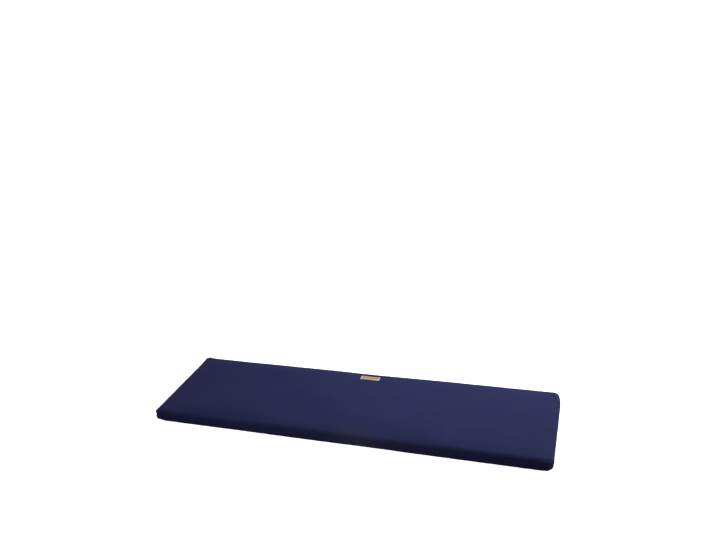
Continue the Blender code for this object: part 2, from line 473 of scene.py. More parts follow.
# %% [markdown]
# ## Filling the cover
#
# A cover is cut a little smaller than its foam, which pushes the cloth out wherever nothing holds it back.
# The crown could be modelled by a formula, but then it would be too even. So the cloth is simulated, with
# pressure inside and no gravity, for it is the foam that gives it its form. A cap keeps every point close
# to where it started, and the result is kept as plain mesh.

# %% Fill the cover
PRESSURE = 4.0
CLOTH = {
    "quality": 5,  # steps in each frame
    "mass": 0.3,
    "tension_stiffness": 15,
    "compression_stiffness": 15,
    "shear_stiffness": 5,
    "bending_stiffness": 5,
}
MOST_SWELL = 0.006
FRAMES = 20
TINY = 1e-9  # keeps a division from being one by nothing


def places_of(mesh):
    """The places of a mesh's points, one in each row."""
    places = np.empty(3 * len(mesh.vertices), np.float32)
    mesh.vertices.foreach_get("co", places)
    return places.reshape(-1, 3).astype(float)


def put_at(mesh, places):
    """Moves a mesh's points to these places, but none of them below the floor."""
    places[:, 2] = np.maximum(places[:, 2], 0)
    mesh.vertices.foreach_set("co", places.astype(np.float32).ravel())
    mesh.update()


def made_final(piece):
    """The mesh that a piece has once its modifiers have done their work."""
    return bpy.data.meshes.new_from_object(piece.evaluated_get(bpy.context.evaluated_depsgraph_get()))


def fill(piece):
    """Swells a piece by simulating its cloth, and returns the mesh."""
    filling = piece.modifiers.new("Filling", "CLOTH")
    for setting, value in CLOTH.items():
        setattr(filling.settings, setting, value)
    filling.settings.vertex_group_mass = "hold"
    filling.settings.pin_stiffness = 1
    filling.settings.use_pressure = True
    filling.settings.uniform_pressure_force = PRESSURE
    filling.settings.effector_weights.gravity = 0
    filling.collision_settings.use_collision = False
    filling.point_cache.frame_start = 1
    filling.point_cache.frame_end = FRAMES
    for frame_number in range(1, FRAMES + 1):
        scene.frame_set(frame_number)
    filled = made_final(piece)
    piece.modifiers.remove(filling)
    scene.frame_set(1)
    return filled


started = places_of(cover_mesh)
moved = places_of(fill(cover)) - started
far = np.linalg.norm(moved, axis=1)
moved *= (MOST_SWELL * np.tanh(far / MOST_SWELL) / np.maximum(far, TINY))[:, None]
put_at(cover_mesh, started + moved)
furthest = 1000 * np.linalg.norm(moved, axis=1).max()
print("the filling moved the cloth by", round(furthest, 1), "mm at most")

# %% [markdown]
# ## Finer cloth
#
# The cells of the cage are right for a simulation, but too coarse for a seam that is two millimetres
# wide. A voxel remesh would give small faces too, and lose the seams and the flat map on the way. So
# the mesh is subdivided once, which halves the cells, keeps everything where it is and rounds the form.

# %% Make the cloth finer


def subdivide(piece):
    """Halves the cells of a piece, and keeps the result as plain mesh."""
    finer = piece.modifiers.new("Finer", "SUBSURF")
    finer.levels = 1
    finer.uv_smooth = "NONE"
    piece.data = made_final(piece)
    piece.modifiers.clear()
    return piece.data


cover_mesh = subdivide(cover)
cover_mesh.name = "cover"
print("the cover has", len(cover_mesh.polygons), "faces")

# %% [markdown]
# ## The groove of a seam
#
# The two panels meet the band in plain seams: both edges are turned in and sewn together, so the seam
# itself lies in a groove, and the turned-in edges push the cloth up on both sides of it. Thread gathers
# cloth a little, so small puckers run away from the seam. In the corners four layers lie on top of each
# other, the groove is deeper and its shoulders stand up.
#
# A seam could be a crease in the subdivided cage, but it would be the same all the way round. Here every
# point will move along its own normal by an amount that depends on how far it is from the seam.

# %% The groove, its shoulders and the puckers
SEAM_GROOVE = 0.0012
SEAM_WIDTH = 0.0011  # half the width of the groove
GROOVE_IN_CORNER = 1.2  # how much deeper it is in a corner
SHOULDER = 0.0005
SHOULDER_AWAY = 0.0028
SHOULDER_WIDTH = 0.0016
SHOULDER_IN_CORNER = 2.2
SEAM_WANDER = 0.0005  # how far a seam strays from its line
WANDER_PATCH = 0.07  # over what length it strays
PULL_CHANGE = 0.35  # how much the pull of the thread changes along the seam
PULL_PATCH = 0.025
PUCKER = 0.0005
PUCKER_START = 0.002  # how far from the seam they start
PUCKER_REACH = 0.009
PUCKER_LENGTH = 0.011
PUCKER_IN_CORNER = 1.6
PULL_NOISE, ABOVE_NOISE, BELOW_NOISE = 10, 20, 30  # each kind of change has noise of its own


def uneven(places, size, change):
    """Soft noise at each of these places, between -1 and 1; another change gives other noise."""
    shift = Vector((0.0, 0.0, change))
    return np.array([noise.noise(Vector(place) / size + shift) for place in places])


def bumps(distances, reach):
    """The soft bump again, for many distances at once."""
    return np.exp(-((distances / reach) ** 2))


def nearest_outline(places):
    """The points of the outline that are nearest to these, at height 0."""
    reach = np.array((LENGTH / 2 - CORNER_RADIUS, DEPTH / 2 - CORNER_RADIUS))
    inner = np.clip(places[:, :2], -reach, reach)
    out = places[:, :2] - inner
    out *= CORNER_RADIUS / np.maximum(np.linalg.norm(out, axis=1), TINY)[:, None]
    return np.column_stack((inner + out, np.zeros(len(places))))


def groove(away, corner, change, outline):
    """How far the cloth stands out near a seam, where away is how far it is along the cloth."""
    away = away + SEAM_WANDER * uneven(outline, WANDER_PATCH, change)
    pull = 1 + PULL_CHANGE * uneven(outline, PULL_PATCH, change + PULL_NOISE)
    relief = -SEAM_GROOVE * (pull + GROOVE_IN_CORNER * corner) * bumps(away, SEAM_WIDTH)
    shoulder = bumps(abs(away) - SHOULDER_AWAY, SHOULDER_WIDTH)
    relief += SHOULDER * (pull + SHOULDER_IN_CORNER * corner) * shoulder
    above = uneven(outline, PUCKER_LENGTH, change + ABOVE_NOISE) * (away > 0)
    below = uneven(outline, PUCKER_LENGTH, change + BELOW_NOISE) * (away <= 0)
    depth = PUCKER * (1 + PUCKER_IN_CORNER * corner)
    fading = bumps(away, PUCKER_REACH) * (1 - bumps(away, PUCKER_START))
    return relief + depth * (above + below) * fading


print("a seam is", round(2000 * SEAM_WIDTH, 1), "mm wide and", round(1000 * SEAM_GROOVE, 1), "mm deep")

# %% [markdown]
# ## Folds
#
# The spare cloth of the top lies in soft folds: long ones along the right end, and short ones that run in
# from the corners. A finer simulation could make some, but not in these places. So each fold is a straight
# line with a soft ridge or valley along it, laid after the photograph and fading out towards its
# ends.

# %% Lay the folds
FOLDS = (
    # from X and Y, to X and Y, half its width, height (negative for a valley)
    (0.5740, 0.0650, 0.5725, 0.1480, 0.0030, -0.0018),
    (0.5800, 0.0500, 0.5785, 0.1400, 0.0030, 0.0006),
    (0.5660, -0.1300, 0.5695, 0.0450, 0.0060, -0.0019),
    (0.5530, 0.1490, 0.5690, 0.1270, 0.0042, -0.0012),
    (0.5680, 0.1540, 0.5790, 0.1400, 0.0038, 0.0006),
    (0.5640, -0.1480, 0.5450, -0.1230, 0.0050, -0.0008),
    (-0.5680, -0.1480, -0.5450, -0.1260, 0.0050, -0.0009),
    (-0.5650, 0.1470, -0.5400, 0.1280, 0.0050, -0.0006),
)
FOLD_AT_ENDS = 0.35  # how high a fold still is at its ends, as a share


def folded(places):
    """How far the folds raise or sink the top at each of these places."""
    relief = np.zeros(len(places))
    for from_x, from_y, to_x, to_y, half_width, height in FOLDS:
        start = np.array((from_x, from_y))
        way = np.array((to_x, to_y)) - start
        along = np.clip((places[:, :2] - start) @ way / (way @ way), 0, 1)
        away = np.linalg.norm(places[:, :2] - start - along[:, None] * way, axis=1)
        fading = FOLD_AT_ENDS + (1 - FOLD_AT_ENDS) * np.sin(np.pi * along)
        relief += height * bumps(away, half_width) * fading
    return relief * (places[:, 2] > EDGE_HEIGHT / 2)


deepest = -1000 * min(fold[-1] for fold in FOLDS)
print("folds:", len(FOLDS), "and the deepest sinks by", round(deepest, 1), "mm")

# %% [markdown]
# ## Sewing the cover
#
# Now the grooves, the folds and the slack of the band come together. They could be three Displace
# modifiers, but one sum for each point keeps them from fighting where they meet, and lets them all fade
# out where the cover lies on the floor.

# %% Sew the seams
TOP_NOISE, LOW_NOISE, BAND_NOISE = 1, 2, 5
CORNER_REACH = 0.022
BAND_DRAWN_IN = 0.0008
BAND_UNEVEN = 0.0006
BAND_PATCH = 0.06
FLOOR_FADE = 0.002  # below this height the relief fades out


def sew(mesh):
    """Moves the points of the cover in and out to make its seams."""
    places = places_of(mesh)
    normals = np.empty(3 * len(places), np.float32)
    mesh.vertex_normals.foreach_get("vector", normals)
    from_low = values_of(mesh, "from_low_seam")
    from_top = values_of(mesh, "from_top_seam")
    outline = nearest_outline(places)
    tip = np.array((LENGTH / 2, DEPTH / 2)) - CORNER_RADIUS * (1 - math.sqrt(0.5))
    corner = bumps(np.linalg.norm(abs(outline[:, :2]) - tip, axis=1), CORNER_REACH)
    relief = groove(from_top, corner, TOP_NOISE, outline) + groove(from_low, corner, LOW_NOISE, outline)
    up_band = np.clip(from_low / (from_low - from_top + TINY), 0, 1) * (from_low > 0) * (from_top < 0)
    relief -= BAND_DRAWN_IN * np.sin(np.pi * up_band) ** 2
    relief += BAND_UNEVEN * uneven(outline, BAND_PATCH, BAND_NOISE) * np.sin(np.pi * up_band)
    relief += folded(places) * (from_top > 0)
    relief *= np.clip(places[:, 2] / FLOOR_FADE, 0, 1)
    put_at(mesh, places + relief[:, None] * normals.reshape(-1, 3))


sew(cover_mesh)
print("the sewn cover is", [round(side, 4) for side in cover.dimensions])

# %% [markdown]
# ## Paler cloth, and a painted highlight
#
# The cloth is paler along the upper seam, where it is rubbed, and in the middle of the front. Along part of
# the back edge a painted highlight stands for the light that the rolled edge catches from behind. It could
# be painted by hand with Blender's brushes. A number on each point does the same without a picture, and the
# cloth's finish mixes a paler colour in by it.

# %% Note how pale the cloth is, and where a highlight is painted
SEAM_WEAR = 0.055
SEAM_WEAR_FROM = 0.001  # how far from the seam it starts to fade out
SEAM_WEAR_REACH = 0.011
PALER_AND_HIGHLIT = (
    # side, along X, reach, from this far out, lowest height, how quickly it comes, how pale
    # paler in the middle of the front
    (-1, 0.065, 0.070, 0.090, 0.0, 2, 0.22),
    # a painted highlight along part of the back edge, for the light that its rolled edge catches from behind
    (+1, -0.300, 0.330, 0.120, EDGE_HEIGHT / 2, 1, 0.10),
)


def note_wear_and_highlight(mesh):
    """Notes how much paler each point of the cover is, from 0 to 1: rubbed along the upper seam, paler in
    the middle of the front, and a painted highlight along the back edge.
    """
    places = places_of(mesh)
    from_seam = abs(values_of(mesh, "from_top_seam"))
    wear_and_painted_highlight = SEAM_WEAR * np.clip(1 - (from_seam - SEAM_WEAR_FROM) / SEAM_WEAR_REACH, 0, 1)
    for side, at, reach, start, lowest, power, share in PALER_AND_HIGHLIT:
        outwards = np.clip((side * places[:, 1] - start) / (DEPTH / 2 - start), 0, 1) ** power
        wear_and_painted_highlight += share * outwards * bumps(places[:, 0] - at, reach) * (places[:, 2] >= lowest)
    mesh.attributes.new("wear_and_painted_highlight", "FLOAT", "POINT").data.foreach_set("value", wear_and_painted_highlight.astype(np.float32))
    return wear_and_painted_highlight


print("the palest cloth is faded by", round(note_wear_and_highlight(cover_mesh).max(), 3))

# %% [markdown]
# ## Thread
#
# Lockstitch lies in the bottom of each groove, where it is seen only from close by. A bump in the finish
# could stand for it, but a stitch casts a shadow and has a round back, so each one is a short bent tube
# that dives into the cloth at both ends. All stitches of a seam are one mesh.

# %% One stitch
THREAD = 0.00028  # half its thickness
THREAD_RISE = 1.9  # how high a stitch bends up, in half thicknesses
STITCH = 0.0032
STITCH_PITCH = 0.0040
TUBE_SIDES = 6
TUBE_STEPS = ((0.0, 0.5), (0.15, 0.95), (0.5, 1.0), (0.85, 0.95), (1.0, 0.5))  # how far along, how thick


def add_stitch(corners, faces, start, end, up, rise, thickness):
    """Adds one stitch: a bent tube from start to end that is highest in its middle."""
    across = (end - start).cross(up).normalized()
    up = across.cross(end - start).normalized()
    first = len(corners)
    for along, thick in TUBE_STEPS:
        middle = start.lerp(end, along) + up * (rise * math.sin(math.pi * along) - thickness)
        for side in range(TUBE_SIDES):
            angle = 2 * math.pi * side / TUBE_SIDES
            corners.append(middle + thickness * thick * (across * math.cos(angle) + up * math.sin(angle)))
    for step in range(len(TUBE_STEPS) - 1):
        ring = first + step * TUBE_SIDES
        for side in range(TUBE_SIDES):
            after = (side + 1) % TUBE_SIDES
            faces.append((ring + side, ring + after, ring + TUBE_SIDES + after, ring + TUBE_SIDES + side))
    faces.append(tuple(range(first, first + TUBE_SIDES))[::-1])
    faces.append(tuple(range(len(corners) - TUBE_SIDES, len(corners))))


def new_piece(name, corners, faces):
    """A piece made from its points and faces, with smooth shading."""
    mesh = bpy.data.meshes.new(name)
    mesh.from_pydata(corners, [], faces)
    fixed = bmesh.new()
    fixed.from_mesh(mesh)
    bmesh.ops.recalc_face_normals(fixed, faces=fixed.faces)
    fixed.to_mesh(mesh)
    fixed.free()
    mesh.shade_smooth()
    piece = bpy.data.objects.new(name, mesh)
    scene.collection.objects.link(piece)
    return piece


print("a stitch is", round(1000 * STITCH, 2), "mm long and", round(2000 * THREAD, 2), "mm thick")

# %% [markdown]
# ## Stitches in the seams
#
# The thread has to lie exactly in the groove, which by now wanders up and down. A curve with an array of
# stitches on it would need that path as well, so the path is read from the cover itself: the points
# whose distance from the seam is nothing form one closed line, and the stitches are set along it.

# %% Thread in the seams
ON_SEAM = 1e-7  # a point that is nearer to a seam than this lies on it


def seam_line(mesh, name):
    """The points of a seam in order, each with its place and its normal."""
    on_seam = abs(values_of(mesh, name)) < ON_SEAM
    beside = {}
    for edge in mesh.edges:
        first, second = edge.vertices
        if on_seam[first] and on_seam[second]:
            beside.setdefault(first, []).append(second)
            beside.setdefault(second, []).append(first)
    line = [next(iter(beside))]
    while len(line) < len(beside):
        ahead = [point for point in beside[line[-1]] if len(line) < 2 or point != line[-2]]
        line.append(ahead[0])
    return [(mesh.vertices[point].co.copy(), mesh.vertex_normals[point].vector.copy()) for point in line]


def sew_thread(name, line):
    """Stitches all along a closed line, an equal distance apart."""
    ends = line[1:] + line[:1]
    lengths = [(ahead[0] - here[0]).length for here, ahead in zip(line, ends)]
    starts = np.concatenate(([0.0], np.cumsum(lengths)))
    count = round(starts[-1] / STITCH_PITCH)
    corners, faces = [], []

    def point_at(along):
        """The place and the normal this far along the line."""
        step = min(int(np.searchsorted(starts, along % starts[-1], side="right")) - 1, len(line) - 1)
        share = (along % starts[-1] - starts[step]) / lengths[step]
        return line[step][0].lerp(ends[step][0], share), line[step][1].lerp(ends[step][1], share)

    for number in range(count):
        along = starts[-1] * number / count
        start, up = point_at(along)
        end, other_up = point_at(along + STITCH)
        add_stitch(corners, faces, start, end, up + other_up, THREAD_RISE * THREAD, THREAD)
    return new_piece(name, corners, faces)


top_thread = sew_thread("top_seam_thread", seam_line(cover_mesh, "from_top_seam"))
low_thread = sew_thread("bottom_seam_thread", seam_line(cover_mesh, "from_low_seam"))
print("thread faces:", len(top_thread.data.polygons), len(low_thread.data.polygons))

# %% [markdown]
# ## Where the patch lies
#
# The patch is a strip of tan leather about 2 mm thick, sewn flat on top near the back edge. Leather is
# much stiffer than the cover, so it bridges the small puckers and follows only the broad form below it,
# and it presses the foam down a little. A thin slab could be bent by a Shrinkwrap, but that would copy
# every pucker. Here the broad form is fitted to heights measured on the cover by casting rays.

# %% Press the cover where the patch lies
from mathutils.bvhtree import BVHTree

PATCH_LENGTH = patch_high.x - patch_low.x
PATCH_DEPTH = patch_high.y - patch_low.y
PATCH_CORNER = 0.0026
PATCH_GAP = 0.0002
PATCH_PRESS = 0.0010  # how deep it sinks into the foam
PATCH_PRESS_REACH = 0.005
SPOTS_ALONG, SPOTS_ACROSS = 16, 8  # the steps between the places where the height is measured
ABOVE_ALL = 0.2  # where the rays start
patch_middle = (patch_low + patch_high) / 2


def outside_by(x, y, half_x, half_y, radius):
    """How far a point lies outside a rectangle with round corners; negative inside."""
    past_x, past_y = abs(x) - (half_x - radius), abs(y) - (half_y - radius)
    return math.hypot(max(past_x, 0), max(past_y, 0)) + min(max(past_x, past_y), 0) - radius


def outside_patch(x, y):
    """How far a point lies outside the patch, seen from its middle."""
    return outside_by(x, y, PATCH_LENGTH / 2, PATCH_DEPTH / 2, PATCH_CORNER)


def ease(share):
    """Goes from 0 to 1 softly, and stays there."""
    share = min(max(share, 0), 1)
    return share * share * (3 - 2 * share)


def press_cover(mesh):
    """Sinks the cover below the patch."""
    for point in mesh.vertices:
        x, y = point.co.x - patch_middle.x, point.co.y - patch_middle.y
        if point.co.z > EDGE_HEIGHT / 2 and abs(x) < PATCH_LENGTH and abs(y) < PATCH_DEPTH:
            point.co.z -= PATCH_PRESS * (1 - ease(outside_patch(x, y) / PATCH_PRESS_REACH))
    mesh.update()


def broad_form(tree):
    """A smooth height for any place on the patch, just above the cover."""
    spots = [
        (PATCH_LENGTH * (column / SPOTS_ALONG - 0.5), PATCH_DEPTH * (row / SPOTS_ACROSS - 0.5))
        for column in range(SPOTS_ALONG + 1) for row in range(SPOTS_ACROSS + 1)
    ]
    down = Vector((0, 0, -1))
    heights = np.array([
        tree.ray_cast(Vector((patch_middle.x + x, patch_middle.y + y, ABOVE_ALL)), down)[0].z
        for x, y in spots
    ])
    terms = np.array([(1, x, y, x * x, x * y, y * y) for x, y in spots])
    fitted = np.linalg.lstsq(terms, heights, rcond=None)[0]
    lift = (heights - terms @ fitted).max() + PATCH_GAP
    return lambda x, y: float(fitted @ (1, x, y, x * x, x * y, y * y)) + lift


press_cover(cover_mesh)
cover_tree = BVHTree.FromPolygons(
    [point.co.copy() for point in cover_mesh.vertices],
    [tuple(face.vertices) for face in cover_mesh.polygons],
)
patch_height = broad_form(cover_tree)
print("the patch lies", round(1000 * patch_height(0, 0), 1), "mm above the floor in its middle")

# %% [markdown]
# ## The leather patch
#
# The patch has a pressed line just inside its edge, as a leather worker makes with a creasing iron, and
# a slightly sunk field in its middle, which is left bare. Its cut edge is a little rounded and not quite
# straight. All of this could be bump in the finish, but at this size the shapes themselves are cheap, and
# they also show from the side. The slab is cut from a block like the cage, and its top layer is pressed.

# %% Cut the patch
PATCH_THICKNESS = 0.0020
PATCH_CELL = 0.0010
PRESSED_LINE = 0.0018  # in from the edge
PRESSED_WIDTH = 0.0006
PRESSED_DEPTH = 0.00025
FIELD_FROM_ENDS = 0.0075
FIELD_FROM_SIDES = 0.0036
FIELD_CORNER = 0.0015
FIELD_SLOPE = 0.0016  # how wide the slope round the field is
FIELD_DEPTH = 0.00022
EDGE_DROP = 0.0003  # how far the edge is rounded off
EDGE_WIDTH = 0.0007
TOP_UNEVEN, TOP_UNEVEN_PATCH = 0.00010, 0.006
CUT_UNEVEN, CUT_UNEVEN_PATCH, CUT_UNEVEN_REACH = 0.006, 0.004, 0.001


def in_round_corner(x, y):
    """Moves a point of the square slab to its place in a round corner."""
    past_x, past_y = abs(x) - PATCH_LENGTH / 2 + PATCH_CORNER, abs(y) - PATCH_DEPTH / 2 + PATCH_CORNER
    if past_x <= 0 or past_y <= 0:
        return x, y
    pull = max(past_x, past_y) / math.hypot(past_x, past_y)
    return x - math.copysign(past_x * (1 - pull), x), y - math.copysign(past_y * (1 - pull), y)


def pressed(x, y, inside):
    """How deep the top of the leather is pressed in here, where inside is how far it is from the edge."""
    half_x, half_y = PATCH_LENGTH / 2 - FIELD_FROM_ENDS, PATCH_DEPTH / 2 - FIELD_FROM_SIDES
    field = outside_by(x, y, half_x, half_y, FIELD_CORNER)
    line = PRESSED_DEPTH * bump(inside - PRESSED_LINE, PRESSED_WIDTH)
    sunk = FIELD_DEPTH * (1 - ease((field + FIELD_SLOPE / 2) / FIELD_SLOPE))
    edge = EDGE_DROP * bump(inside, EDGE_WIDTH)
    return line + sunk + edge - TOP_UNEVEN * noise.noise(Vector((x, y, 0)) / TOP_UNEVEN_PATCH)


def cut_patch(height_at):
    """The patch as a thin slab that follows the height it is given."""
    columns, rows = round(PATCH_LENGTH / PATCH_CELL), round(PATCH_DEPTH / PATCH_CELL)
    block = cut_block(columns, rows, 2)
    from_edge = block.verts.layers.float.new("from_edge")
    flat = block.loops.layers.uv.new("cut")
    for vertex in block.verts:
        column, row, layer = (round(count) for count in vertex.co)
        x, y = in_round_corner(PATCH_LENGTH * (column / columns - 0.5), PATCH_DEPTH * (row / rows - 0.5))
        inside = -outside_patch(x, y)
        vertex[from_edge] = inside
        z = height_at(x, y) + PATCH_THICKNESS * layer / 2
        if layer == 2:
            z -= pressed(x, y, inside)
        stray = CUT_UNEVEN * noise.noise(Vector((x, y, 0)) / CUT_UNEVEN_PATCH)
        stretch = 1 + stray * bump(inside, CUT_UNEVEN_REACH)
        vertex.co = (patch_middle.x + x * stretch, patch_middle.y + y * stretch, z)
    for face in block.faces:
        for loop in face.loops:
            loop[flat].uv = (loop.vert.co.x - patch_middle.x, loop.vert.co.y - patch_middle.y)
    mesh = bpy.data.meshes.new("patch_leather")
    block.to_mesh(mesh)
    block.free()
    return mesh


patch = bpy.data.objects.new("patch_leather", cut_patch(patch_height))
scene.collection.objects.link(patch)
subdivide(patch).shade_smooth()
patch_size = [round(side, 4) for side in patch.dimensions]
print("the patch has", len(patch.data.polygons), "faces and is", patch_size)

# %% [markdown]
# ## Stitches on the patch
#
# Two short rows of pale thread at each end hold the patch down. The same bent tube as in the seams does
# for them, only thicker, because this thread is meant to be seen.

# %% Sew the patch on
PATCH_THREAD = 0.00042
PATCH_THREAD_RISE = 1.5
PATCH_STITCH = 0.0027
PATCH_STITCH_PITCH = 0.0034
PATCH_STITCH_STRAY, STRAY_PATCH = 0.00012, 0.002
PATCH_ROWS = (0.0024, 0.0046)  # in from each end
STITCHES_IN_ROW = 5

corners, faces = [], []
for end in (-1, 1):
    for row_in in PATCH_ROWS:
        for number in range(STITCHES_IN_ROW):
            x = end * (PATCH_LENGTH / 2 - row_in)
            y = PATCH_STITCH_PITCH * (number - (STITCHES_IN_ROW - 1) / 2)
            x += PATCH_STITCH_STRAY * noise.noise(Vector((x, y, 1)) / STRAY_PATCH)
            start, stop = [
                Vector((patch_middle.x + x, patch_middle.y + at, patch_height(x, at) + PATCH_THICKNESS))
                for at in (y - PATCH_STITCH / 2, y + PATCH_STITCH / 2)
            ]
            rise = PATCH_THREAD_RISE * PATCH_THREAD
            add_stitch(corners, faces, start, stop, Vector((0, 0, 1)), rise, PATCH_THREAD)
patch_thread = new_piece("patch_thread", corners, faces)
print("stitches on the patch:", 2 * len(PATCH_ROWS) * STITCHES_IN_ROW)

# %% [markdown]
# ## Navy cloth
#
# The cover is a plain weave in navy, matt, with a faint sheen where light grazes it. The weave could be a
# picture of cloth, but a procedural one stays sharp at any distance and needs no file. Two sets of waves
# on the UV map of the flat cloth stand for the two sets of threads, and where they multiply, one thread
# lies over the other. Noise that is stretched along each thread gives it the thick and thin places that
# spun yarn has, and broad, faint noise keeps the large surface from being one flat colour.
#
# The first cell has small helpers that add one node each, so that the finishes below read as short
# recipes. A value can be a number, a colour, or the socket of another node.

# %% Helpers for finishes


def new_material(name):
    """A material, its nodes and its shader."""
    finish = bpy.data.materials.new(name)
    finish.use_nodes = True
    return finish, finish.node_tree, finish.node_tree.nodes["Principled BSDF"]


def add_node(tree, kind, inputs, **settings):
    """Adds a node. Each input is a value, or the socket of another node to link to it."""
    made = tree.nodes.new(kind)
    for setting, value in settings.items():
        setattr(made, setting, value)
    for name, value in inputs.items():
        if isinstance(value, bpy.types.NodeSocket):
            tree.links.new(value, made.inputs[name])
        else:
            made.inputs[name].default_value = value
    return made


def worked_out(tree, operation, *values):
    """What a Math node makes of one, two or three values."""
    return add_node(tree, "ShaderNodeMath", dict(enumerate(values)), operation=operation).outputs[0]


def mapped(tree, value, from_range, to_range, how="LINEAR"):
    """A value moved from one range to another."""
    ends = dict(zip(("From Min", "From Max", "To Min", "To Max"), (*from_range, *to_range)))
    return add_node(tree, "ShaderNodeMapRange", {"Value": value, **ends}, interpolation_type=how).outputs[0]


def cloudy(tree, place, scale, detail):
    """Soft noise, from 0 to 1."""
    inputs = {"Vector": place, "Scale": scale, "Detail": detail}
    return add_node(tree, "ShaderNodeTexNoise", inputs).outputs["Fac"]


def mixed(tree, share, first, second):
    """A colour mixed from two others."""
    inputs = {0: share, 6: first, 7: second}
    return add_node(tree, "ShaderNodeMix", inputs, data_type="RGBA").outputs[2]


def brightened(tree, colour, share):
    """A colour made brighter or darker by a share."""
    inputs = {0: colour, "Scale": share}
    return add_node(tree, "ShaderNodeVectorMath", inputs, operation="SCALE").outputs["Vector"]


def flat_map(tree):
    """The place on the flat cloth or leather, in metres."""
    return add_node(tree, "ShaderNodeUVMap", {}, uv_map="cut").outputs["UV"]


def noted(tree, name):
    """A number that was noted on each point of the mesh."""
    return add_node(tree, "ShaderNodeAttribute", {}, attribute_name=name).outputs["Fac"]


def finish_with(tree, shader, links, values):
    """Links some of the shader's sockets, and sets others to a value of their own."""
    for name, socket in links.items():
        tree.links.new(socket, shader.inputs[name])
    for name, value in values.items():
        shader.inputs[name].default_value = value


def raised(tree, height, strength, distance):
    """The normal of a surface with this relief."""
    inputs = {"Height": height, "Strength": strength, "Distance": distance}
    return add_node(tree, "ShaderNodeBump", inputs).outputs["Normal"]


cloth, tree, shader = new_material("navy cloth")
print("an empty material has", len(tree.nodes), "nodes")

# %% [markdown]
# ## The weave
#
# One wave texture runs along each direction of the cloth. Its waves are slightly bent, because no thread
# is quite straight. The two are multiplied, so only where a thread of each set is at its highest is the
# cloth at its highest. The relief is very low: a thread of this cloth is less than a millimetre wide.

# %% Weave the cloth
NAVY = (0.0100, 0.0125, 0.0725, 1)
# the paler colour, both for rubbed cloth and for the painted highlight along the back edge
NAVY_WORN_AND_HIGHLIGHT = (0.085, 0.080, 0.105, 1)
THREAD_PITCH = 0.0008
WAVE_SCALE = 2 * math.pi / 20 / THREAD_PITCH  # Blender's wave texture has 20 / (2 pi) waves a unit
THREAD_BEND = {"Distortion": 0.8, "Detail": 1.0, "Detail Scale": 0.15}
YARN_ALONG, YARN_ACROSS = 45, 900  # thick and thin places are long along the thread and narrow across
YARN_RELIEF = 0.6
YARN_RANGE, YARN_TONE = (0.6, 1.4), (0.86, 1.14)  # thin places are darker, thick ones paler
BROAD_SCALE = 9.0
BROAD_RANGE, BROAD_TONE = (0.3, 0.7), (0.95, 1.05)
WEAVE_RANGE, WEAVE_ROUGH = (0.2, 1.8), (0.95, 0.78)  # the gaps between threads are the roughest
WEAVE_STRENGTH, WEAVE_HEIGHT = 0.35, 0.00012


def weave(tree, flat):
    """The height of a plain weave, and how thick and thin its threads are here."""
    sets, yarns = [], []
    for direction, stretch in (("X", (YARN_ACROSS, YARN_ALONG, 1)), ("Y", (YARN_ALONG, YARN_ACROSS, 1))):
        inputs = {"Vector": flat, "Scale": WAVE_SCALE, **THREAD_BEND}
        wave = add_node(tree, "ShaderNodeTexWave", inputs, bands_direction=direction)
        sets.append(wave.outputs["Fac"])
        place = add_node(tree, "ShaderNodeMapping", {"Vector": flat, "Scale": stretch}).outputs["Vector"]
        yarns.append(cloudy(tree, place, 1.0, 2.0))
    over = worked_out(tree, "MULTIPLY", *sets)
    slub = worked_out(tree, "ADD", *yarns)
    return worked_out(tree, "MULTIPLY_ADD", slub, YARN_RELIEF, over), slub


flat = flat_map(tree)
height, slub = weave(tree, flat)
tone = mapped(tree, slub, YARN_RANGE, YARN_TONE)
shade = mapped(tree, cloudy(tree, flat, BROAD_SCALE, 3.0), BROAD_RANGE, BROAD_TONE)
coloured = brightened(tree, NAVY[:3], worked_out(tree, "MULTIPLY", tone, shade))
finish_with(tree, shader, {
    # the paler colour is mixed in where the cloth is rubbed, and as a painted highlight along the back edge
    "Base Color": mixed(tree, noted(tree, "wear_and_painted_highlight"), coloured, NAVY_WORN_AND_HIGHLIGHT),
    "Roughness": mapped(tree, height, WEAVE_RANGE, WEAVE_ROUGH),
    "Normal": raised(tree, height, WEAVE_STRENGTH, WEAVE_HEIGHT),
}, {
    "Specular IOR Level": 0.15,
    "Sheen Weight": 0.12,
    "Sheen Roughness": 0.5,
    "Sheen Tint": (0.55, 0.60, 1.0, 1),
})
print("the cloth has", round(0.01 / THREAD_PITCH, 1), "threads a centimetre and", len(tree.nodes), "nodes")

# %% [markdown]
# ## Thread
#
# Thread is a twist of fibres. Modelling the fibres would take many more faces than the whole pad, so a
# fine slanting wave stands for them: it paints shade into the gaps between the fibres and sinks them a
# little.
# The seams are sewn in navy, and the patch in a pale thread that is meant to be seen.

# %% Dye the thread
NAVY_THREAD = (0.016, 0.016, 0.050, 1)
PALE_THREAD = (0.66, 0.56, 0.52, 1)
TWIST = {"Scale": 700.0, "Distortion": 1.0, "Detail": 1.0}
TWIST_STRENGTH, TWIST_HEIGHT = 0.5, 0.00008
# painted shade: the gaps between the fibres are darkened to this share of the thread's colour
GAP_SHADE = 0.6  # the colour between the fibres, as a share of their own


def thread_finish(name, colour, roughness):
    """A twisted thread of this colour."""
    finish, tree, shader = new_material(name)
    place = add_node(tree, "ShaderNodeTexCoord", {}).outputs["Object"]
    inputs = {"Vector": place, **TWIST}
    twist = add_node(tree, "ShaderNodeTexWave", inputs, bands_direction="DIAGONAL").outputs["Fac"]
    # the painted shade in the gaps between the fibres
    dark = tuple(GAP_SHADE * part for part in colour[:3]) + (1,)
    finish_with(tree, shader, {
        "Base Color": mixed(tree, twist, dark, colour),
        "Normal": raised(tree, twist, TWIST_STRENGTH, TWIST_HEIGHT),
    }, {
        "Roughness": roughness,
        "Specular IOR Level": 0.25,
    })
    return finish


